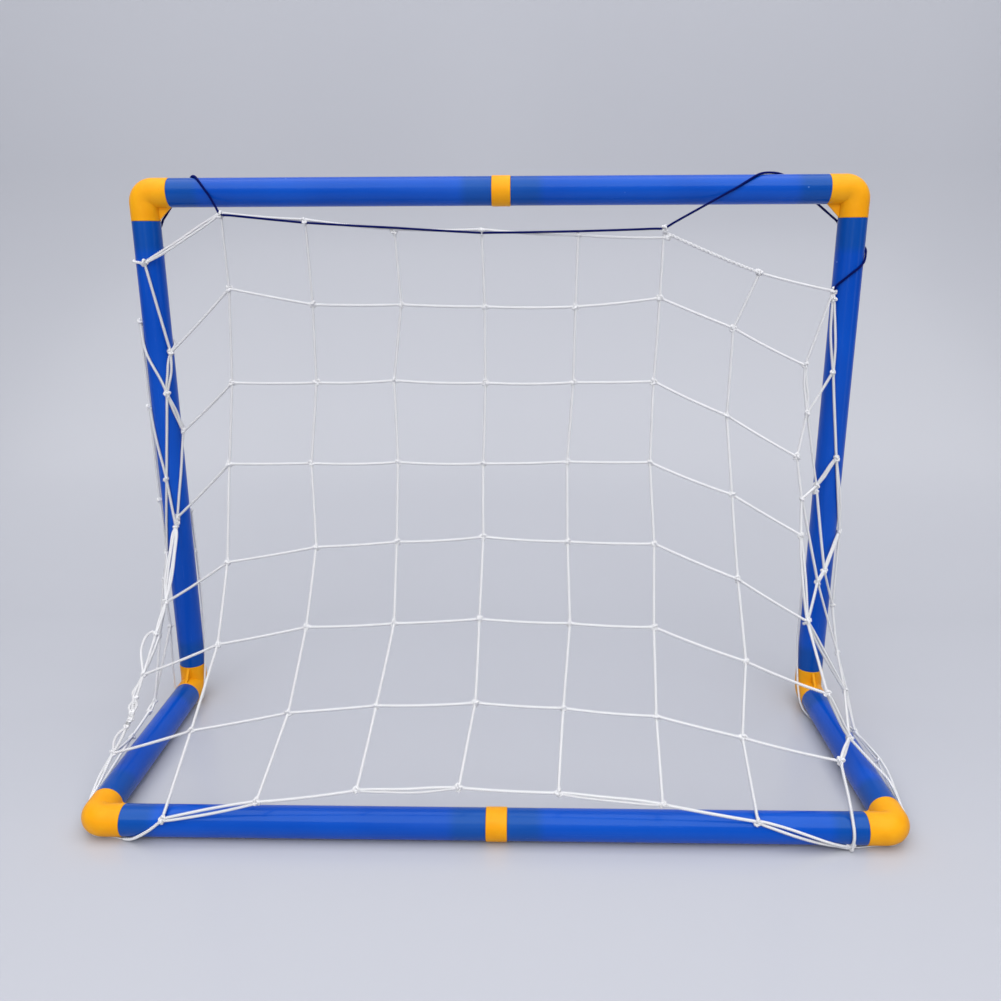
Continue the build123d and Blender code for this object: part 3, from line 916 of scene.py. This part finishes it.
white = cord_material(
    "net_cord_white", dark=(0.84, 0.84, 0.875, 1), light=(0.96, 0.96, 0.975, 1),
    dirt=(0.76, 0.76, 0.80, 1), sheen=0.25, specular=0.5, rough=0.62)
net = {name: mesh.object(name, white) for name, mesh in net_meshes.items()}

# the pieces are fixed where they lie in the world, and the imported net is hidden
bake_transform(net["net_top"])
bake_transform(net["net_mid"])
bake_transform(net["net_low"])
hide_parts("net_upper")
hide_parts("net_middle")
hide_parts("net_lower")

# ---------------------------------------------------------------- navy lacing cord
navy = cord_material(
    "lacing_cord_navy", dark=(0.0005, 0.0040, 0.090, 1), light=(0.0010, 0.0080, 0.170, 1),
    dirt=(0.0004, 0.0024, 0.052, 1), sheen=0.0, specular=0.07, rough=0.60)
LACE_OFFSETS = (      # from knots K01 to K06 to the lacing
    (0.0, -2.4, -1.2), (0.0, -2.6, -2.6), (0.0, -2.6, 1.0),
    (0.0, -2.6, -2.7), (0.0, -2.2, 3.0), (-0.6, -1.8, 2.9),
)
RIGHT_BAR_STATIONS = (      # degrees round the crossbar, x
    (7, 200.0), (22, 205.4), (37, 210.6), (52, 215.0), (68, 219.6), (82, 225.0), (96, 231.5),
    (110, 238.0), (135, 246.0), (160, 253.5), (185, 260.5), (210, 266.5), (236, 271.0),
)
RIGHT_UPRIGHT_STATIONS = (      # degrees round the upright, z
    (-128, 447.0), (-150, 443.5), (-175, 440.0), (-205, 434.5), (-235, 429.0), (-262, 425.5),
    (-280, 423.0), (-292, 419.5), (-303, 415.0), (-330, 410.2), (-360, 405.3), (-380, 401.3),
    (-400, 397.4), (-412, 395.2),
)
LEFT_TAIL_END, RIGHT_TAIL_END = (-309.0, 9.9, 417.4), (287.4, -10.0, 391.4)
TAIL_KNOT = (-308.2, 10.6, 417.8)


def round_crossbar(degrees, x):
    """A point round the crossbar: 0 degrees is its rear face, 90 its top."""
    angle = math.radians(degrees)
    return (x, -LACE_WRAP * math.cos(angle), TABLE_TOP_Z + LACE_WRAP * math.sin(angle))


def part_way(start, end, shares):
    start, end = np.array(start), np.array(end)
    return [start + (end - start) * share for share in shares]


def lace_along_knots():
    """The lacing's points from K01 to K06, with three between each two knots."""
    knots = np.array(KNOT_GRID[0][1:7])
    laced = knots + np.array(LACE_OFFSETS)
    points = []
    for i in range(len(knots) - 1):
        points.append(laced[i])
        for share in (0.12, 0.5, 0.88):
            x, _, z = laced[i] + (laced[i + 1] - laced[i]) * share
            y = knots[i][1] + (knots[i + 1][1] - knots[i][1]) * share - 2.5
            points.append((x, y, z - 0.15 * math.sin(math.pi * share)))
    return points + [laced[-1]]


def add_lace(mesh, points):
    path = smooth_path([at(p) for p in points], LACE_STEP)
    mesh.rod(settled(path, LACE_R + LACE_GAP), LACE_R, LACE_PITCH)


left_over = [round_crossbar(-10 + 246 * t, -240.0 - 39.8 * t) for t in np.linspace(0, 1, 18)]
right_over = [round_crossbar(degrees, x) for degrees, x in RIGHT_BAR_STATIONS]
along = lace_along_knots()
drop = part_way(left_over[0], along[0], (0.3, 0.65))
rise = part_way(along[-1], right_over[0], (0.15, 0.4, 0.65, 0.88))
run_mesh = CordMesh()
add_lace(run_mesh, left_over[::-1] + drop + along + rise + right_over)
lace_run = run_mesh.object("lacing_run", navy)
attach(lace_run, "crossbar")
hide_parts("lacing_cord")

# the tails go on from the crossbar round each upright
left_wrap = helix(-1, (122, 236), (449.5, 424.0), LACE_WRAP, 12)
right_wrap = [round_upright(1, degrees, z, LACE_WRAP) for degrees, z in RIGHT_UPRIGHT_STATIONS]
tail_mesh = CordMesh()
for over, wrap, tail_end in ((left_over, left_wrap, LEFT_TAIL_END),
                             (right_over, right_wrap, RIGHT_TAIL_END)):
    bridge = part_way(over[-1], wrap[0], (0.25, 0.5, 0.75))
    add_lace(tail_mesh, [over[-1]] + bridge + wrap + [tail_end])
knot_centre = pushed(at(TAIL_KNOT)[None, :], 2.0 * MM)[0]
knot = knot_curve()[1] * 0.62 * MM @ np.array(Matrix.Rotation(0.9, 3, "X")).T
tail_mesh.loop(knot + knot_centre, LACE_R * KNOT_CORD, LACE_PITCH)
lace_tails = tail_mesh.object("lacing_tails", navy)
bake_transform(lace_tails)
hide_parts("lacing_tail_left", "lacing_tail_right")


# ---------------------------------------------------------------- stage, lights, camera
def build_stage():
    """A floor curving up into a wall on the +Y side."""
    half_width, wall_top = 6.0, 4.5
    curve_start, curve_radius, curve_steps = 0.20, 0.55, 16
    profile = [(-6.0, 0.0), (-2.0, 0.0), (curve_start, 0.0)]      # (y, z)
    for k in range(1, curve_steps + 1):
        angle = math.pi / 2 * k / curve_steps
        profile.append((curve_start + curve_radius * math.sin(angle),
                        curve_radius * (1 - math.cos(angle))))
    profile.append((curve_start + curve_radius, wall_top))
    points = [(x, y, z) for y, z in profile for x in (-half_width, half_width)]
    faces = [[2 * i, 2 * i + 1, 2 * i + 3, 2 * i + 2] for i in range(len(profile) - 1)]
    mesh = bpy.data.meshes.new("studio")
    mesh.from_pydata(points, [], faces)
    mesh.update()
    link_object("studio", mesh, stage_material())


def add_softbox(name, place, target, width, height, radiance):
    light = bpy.data.lights.new(name, "AREA")
    light.shape = "RECTANGLE"
    light.size, light.size_y = width, height
    light.energy = radiance * math.pi * width * height
    lamp = bpy.data.objects.new(name, light)
    lamp.location = place
    aim = Vector(target) - Vector(place)
    lamp.rotation_euler = aim.to_track_quat("-Z", "Y").to_euler()
    scene.collection.objects.link(lamp)
    # the fill only lifts the shadows; it leaves no streak on the tubes
    lamp.visible_glossy = name != "front_fill"


def build_world():
    """Dim for the light it gives, pale where the camera sees past the stage."""
    world = bpy.data.worlds.new("studio_world")
    world.use_nodes = True
    nodes, links = world.node_tree.nodes, world.node_tree.links
    background = nodes["Background"]
    background.inputs["Color"].default_value = (0.90, 0.94, 1.0, 1)
    light_path = nodes.new("ShaderNodeLightPath")
    strength = nodes.new("ShaderNodeMapRange")
    strength.inputs["To Min"].default_value = 0.18
    strength.inputs["To Max"].default_value = 0.62
    links.new(light_path.outputs["Is Camera Ray"], strength.inputs["Value"])
    links.new(strength.outputs["Result"], background.inputs["Strength"])
    scene.world = world


def build_camera():
    right = Vector((0.9996931, 0.02441557, -0.00419264))
    up = Vector((-0.0026516, 0.27373022, 0.96180286))
    back = Vector((0.02463062, -0.96149656, 0.27371096))
    data = bpy.data.cameras.new("camera")
    data.sensor_width = 36.0
    data.lens = 32.841279
    data.clip_start = 0.01
    camera = bpy.data.objects.new("camera", data)
    turn = Matrix((right, up, back)).transposed().to_4x4()
    camera.matrix_world = Matrix.Translation((0.023408, -0.810456, 0.432268)) @ turn
    scene.collection.objects.link(camera)
    scene.camera = camera


LIGHTS = (      # name, place, target, width, height, radiance
    ("ceiling", (0.0, -1.1, 2.2), (0.0, -1.1, 0.0), 3.8, 4.4, 2.02),
    ("front_fill", (0.0, -2.7, 1.45), (0.0, 0.0, 0.25), 3.8, 2.4, 1.46),
    ("left_panel", (-1.30, -1.35, 0.80), (-0.1, 0.0, 0.30), 0.90, 1.10, 0.42),
    ("back_strip", (-0.20, -3.1, 0.95), (0.0, 0.0, 0.30), 0.42, 1.70, 1.10),
    ("right_strip", (1.25, -0.55, 0.62), (0.1, 0.0, 0.30), 0.22, 1.20, 0.75),
)
build_stage()
for light in LIGHTS:
    add_softbox(*light)
build_world()
scene.view_settings.view_transform = "Standard"
scene.view_settings.look = "None"
scene.view_settings.exposure = 0.0
build_camera()
